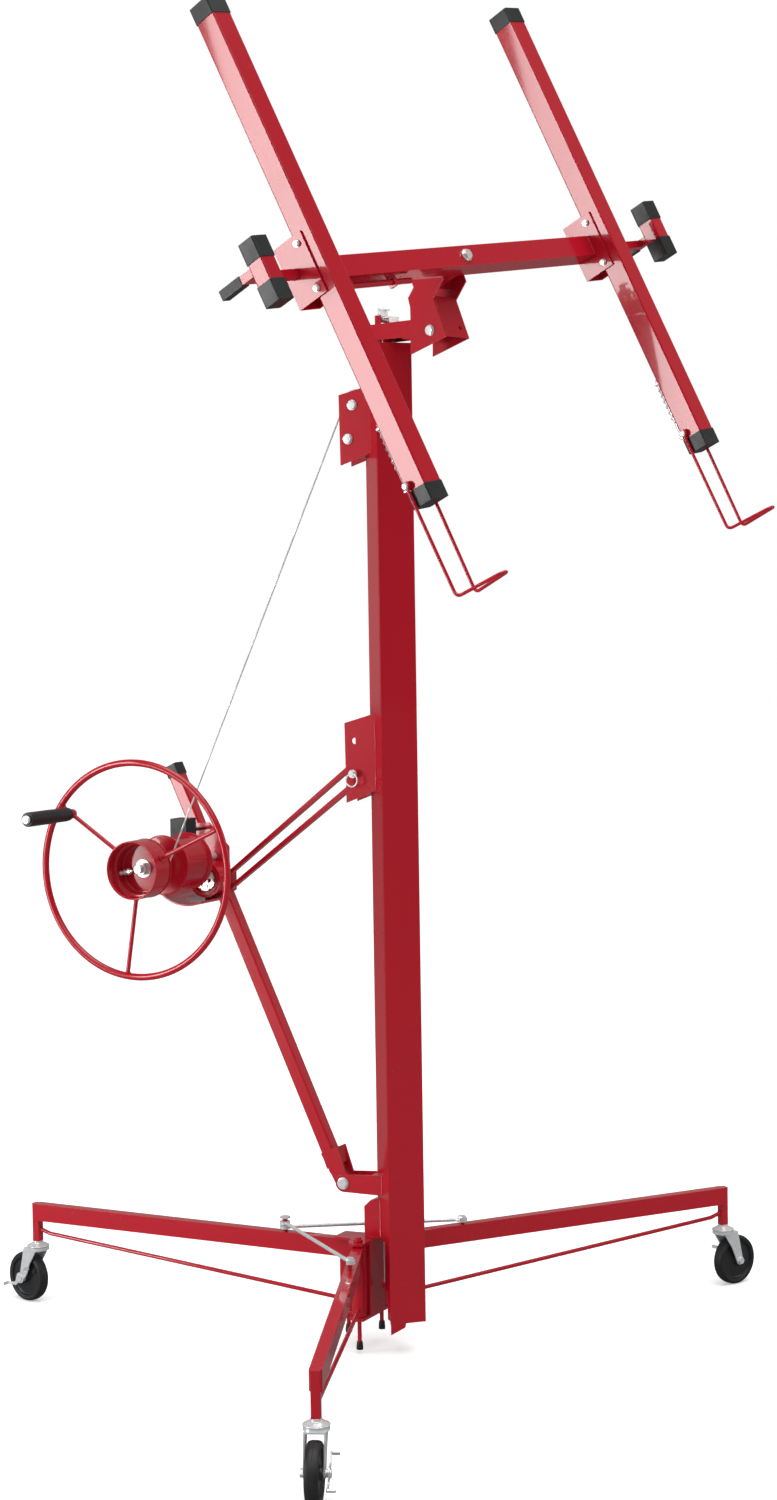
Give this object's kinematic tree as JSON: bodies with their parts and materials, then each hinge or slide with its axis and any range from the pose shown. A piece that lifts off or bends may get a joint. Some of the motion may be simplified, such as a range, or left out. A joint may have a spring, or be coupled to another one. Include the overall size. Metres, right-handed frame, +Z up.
{
  "type": "drywall lift",
  "caption": "Rolling panel lift: folding tripod base on braked casters, telescoping square mast, handwheel winch on a slanted post and a tilting cradle with crossarms and wire hooks",
  "frame": {"origin": "middle of the overall footprint, on the floor", "axes": "+Z up, +Y towards the rear leg and winch, -Y the front where the cradle faces, +X along the winch shaft towards the right seen from the front"},
  "size_m": [1.6234, 1.5582, 2.588],
  "materials": {
    "red_paint": "gloss red powder coat",
    "zinc": "zinc plated",
    "black_plastic": "moulded black",
    "tyre": "satin black rubber"
  },
  "bodies": {
    "base": {"hub": "red_paint", "leg_rear": "red_paint", "hinge_rods": "red_paint", "end_caps": "black_plastic", "race_rear": "zinc", "mast_fixed": "red_paint", "mast_foot": "red_paint", "mast_brackets": "red_paint", "mast_bolts": "zinc", "winch_post": "red_paint", "brace": "red_paint", "winch_guard": "red_paint", "brake_cover": "black_plastic", "cable": "zinc", "cable_inner": "zinc"},
    "left_leg": {"leg_left": "red_paint", "race_left": "zinc"},
    "right_leg": {"leg_right": "red_paint", "race_right": "zinc"},
    "left_lock": {"lock_rod_left": "zinc"},
    "right_lock": {"lock_rod_right": "zinc"},
    "left_fork": {"fork_left": "zinc"},
    "right_fork": {"fork_right": "zinc"},
    "rear_fork": {"fork_rear": "zinc"},
    "left_wheel": {"wheel_left": "tyre"},
    "right_wheel": {"wheel_right": "tyre"},
    "rear_wheel": {"wheel_rear": "tyre"},
    "left_brake": {"brake_left": "zinc"},
    "right_brake": {"brake_right": "zinc"},
    "rear_brake": {"brake_rear": "zinc"},
    "middle": {"mast_middle": "red_paint"},
    "top": {"mast_top": "red_paint"},
    "sheave_wheel": {"sheave": "zinc"},
    "pin": {"hitch_pin": "zinc"},
    "pawl": {"ratchet": "zinc"},
    "crank": {"spool": "red_paint", "brake_drum": "red_paint", "hub_cup": "red_paint", "shaft": "zinc", "handwheel": "red_paint", "crank_spindle": "zinc", "cable_coil": "zinc"},
    "grip": {"crank_grip": "black_plastic"},
    "head": {"head_box": "red_paint", "tilt_bolt": "zinc"},
    "head_latch": {"latch": "zinc"},
    "tilter": {"yoke": "red_paint", "spin_bolt": "zinc"},
    "cradle": {"crossbar": "red_paint", "saddles": "red_paint", "crossarms": "red_paint", "arm_caps": "black_plastic", "arm_bolts": "zinc"},
    "left_outrigger": {"outrigger_left": "red_paint", "tbar_caps_left": "black_plastic"},
    "right_outrigger": {"outrigger_right": "red_paint", "tbar_caps_right": "black_plastic"},
    "left_hook": {"hook_left": "red_paint"},
    "right_hook": {"hook_right": "red_paint"}
  },
  "joints": [
    {"name": "left_leg_fold", "type": "hinge", "parent": "base", "child": "left_leg", "pos_m": [-0.00904, -0.07662, 0.14], "axis": [0, 0, 1], "range_deg": [-95, 0]},
    {"name": "right_leg_fold", "type": "hinge", "parent": "base", "child": "right_leg", "pos_m": [0.08296, -0.07662, 0.14], "axis": [0, 0, 1], "range_deg": [0, 105]},
    {"name": "left_lock_swing", "type": "hinge", "parent": "base", "child": "left_lock", "pos_m": [0.03696, 0.10938, 0.2242], "axis": [0, 0, 1], "range_deg": [0, 22]},
    {"name": "right_lock_swing", "type": "hinge", "parent": "base", "child": "right_lock", "pos_m": [0.03696, 0.10938, 0.216], "axis": [0, 0, 1], "range_deg": [-11, 0]},
    {"name": "left_caster_swivel", "type": "hinge", "parent": "left_leg", "child": "left_fork", "pos_m": [-0.7321, -0.38354, 0.114], "axis": [0, 0, 1], "continuous": true},
    {"name": "left_wheel_roll", "type": "hinge", "parent": "left_fork", "child": "left_wheel", "pos_m": [-0.76187, -0.39527, 0.051], "axis": [0.3665, -0.9304, 0], "continuous": true},
    {"name": "left_brake_press", "type": "hinge", "parent": "left_fork", "child": "left_brake", "pos_m": [-0.76187, -0.39527, 0.051], "axis": [0.3665, -0.9304, 0], "range_deg": [-12, 18]},
    {"name": "right_caster_swivel", "type": "hinge", "parent": "right_leg", "child": "right_fork", "pos_m": [0.731, -0.54229, 0.114], "axis": [0, 0, 1], "continuous": true},
    {"name": "right_wheel_roll", "type": "hinge", "parent": "right_fork", "child": "right_wheel", "pos_m": [0.76001, -0.55581, 0.051], "axis": [0.4226, 0.9063, 0], "continuous": true},
    {"name": "right_brake_press", "type": "hinge", "parent": "right_fork", "child": "right_brake", "pos_m": [0.76001, -0.55581, 0.051], "axis": [0.4226, 0.9063, 0], "range_deg": [-12, 18]},
    {"name": "rear_caster_swivel", "type": "hinge", "parent": "base", "child": "rear_fork", "pos_m": [0.03696, 0.69738, 0.114], "axis": [0, 0, 1], "continuous": true},
    {"name": "rear_wheel_roll", "type": "hinge", "parent": "rear_fork", "child": "rear_wheel", "pos_m": [0.0447, 0.72843, 0.051], "axis": [-0.9703, 0.2419, 0], "continuous": true},
    {"name": "rear_brake_press", "type": "hinge", "parent": "rear_fork", "child": "rear_brake", "pos_m": [0.0447, 0.72843, 0.051], "axis": [-0.9703, 0.2419, 0], "range_deg": [-12, 18]},
    {"name": "middle_lift", "type": "slide", "parent": "base", "child": "middle", "axis": [0, 0, 1], "range_m": [0, 1.35], "deforming": ["cable_inner"]},
    {"name": "top_lift", "type": "slide", "parent": "middle", "child": "top", "axis": [0, 0, 1], "range_m": [0, 1.35]},
    {"name": "crank_turn", "type": "hinge", "parent": "base", "child": "crank", "pos_m": [-0.11304, 0.24538, 0.941], "axis": [1, 0, 0], "range_deg": [-20, 3940]},
    {"name": "grip_spin", "type": "hinge", "parent": "crank", "child": "grip", "pos_m": [-0.34304, 0.38534, 1.04269], "axis": [1, 0, 0], "continuous": true},
    {"name": "sheave_turn", "type": "hinge", "parent": "base", "child": "sheave_wheel", "pos_m": [0.03696, -0.08062, 1.802], "axis": [1, 0, 0], "range_deg": [-2800, 20]},
    {"name": "pawl_flip", "type": "hinge", "parent": "base", "child": "pawl", "pos_m": [-0.01304, 0.24138, 0.899], "axis": [1, 0, 0], "range_deg": [-20, 20]},
    {"name": "hitch_pull", "type": "slide", "parent": "base", "child": "pin", "axis": [-1, 0, 0], "range_m": [0, 0.07]},
    {"name": "head_swivel", "type": "hinge", "parent": "top", "child": "head", "pos_m": [0.03696, -0.14562, 1.913], "axis": [0, 0, 1], "range_deg": [-73, 107]},
    {"name": "latch_lift", "type": "hinge", "parent": "head", "child": "head_latch", "pos_m": [0.03973, -0.13601, 1.96], "axis": [0.9608, -0.2773, 0], "range_deg": [-60, 0]},
    {"name": "cradle_tilt", "type": "hinge", "parent": "head", "child": "tilter", "pos_m": [-0.00131, -0.27821, 1.925], "axis": [0.9608, -0.2773, 0], "range_deg": [-67.1, 0]},
    {"name": "cradle_spin", "type": "hinge", "parent": "tilter", "child": "cradle", "pos_m": [-0.00611, -0.29482, 2.03825], "axis": [-0.2555, -0.8851, 0.3891], "range_deg": [-19, 1]},
    {"name": "left_outrigger_slide", "type": "slide", "parent": "cradle", "child": "left_outrigger", "axis": [-0.9657, 0.214, -0.1473], "range_m": [-0.08, 0.12]},
    {"name": "right_outrigger_slide", "type": "slide", "parent": "cradle", "child": "right_outrigger", "axis": [0.9657, -0.214, 0.1473], "range_m": [-0.08, 0.12]},
    {"name": "left_hook_fold", "type": "hinge", "parent": "cradle", "child": "left_hook", "pos_m": [-0.4113, -0.4269, 1.62424], "axis": [0.9657, -0.214, 0.1473], "range_deg": [0, 100]},
    {"name": "right_hook_fold", "type": "hinge", "parent": "cradle", "child": "right_hook", "pos_m": [0.40759, -0.60835, 1.74913], "axis": [0.9657, -0.214, 0.1473], "range_deg": [0, 100]}
  ],
  "couplings": [
    {"joint": "top_lift", "follows": "middle_lift", "ratio": 1},
    {"joint": "crank_turn", "follows": "middle_lift", "rad_per_m": 50.761},
    {"joint": "sheave_turn", "follows": "middle_lift", "rad_per_m": -35.714}
  ]
}
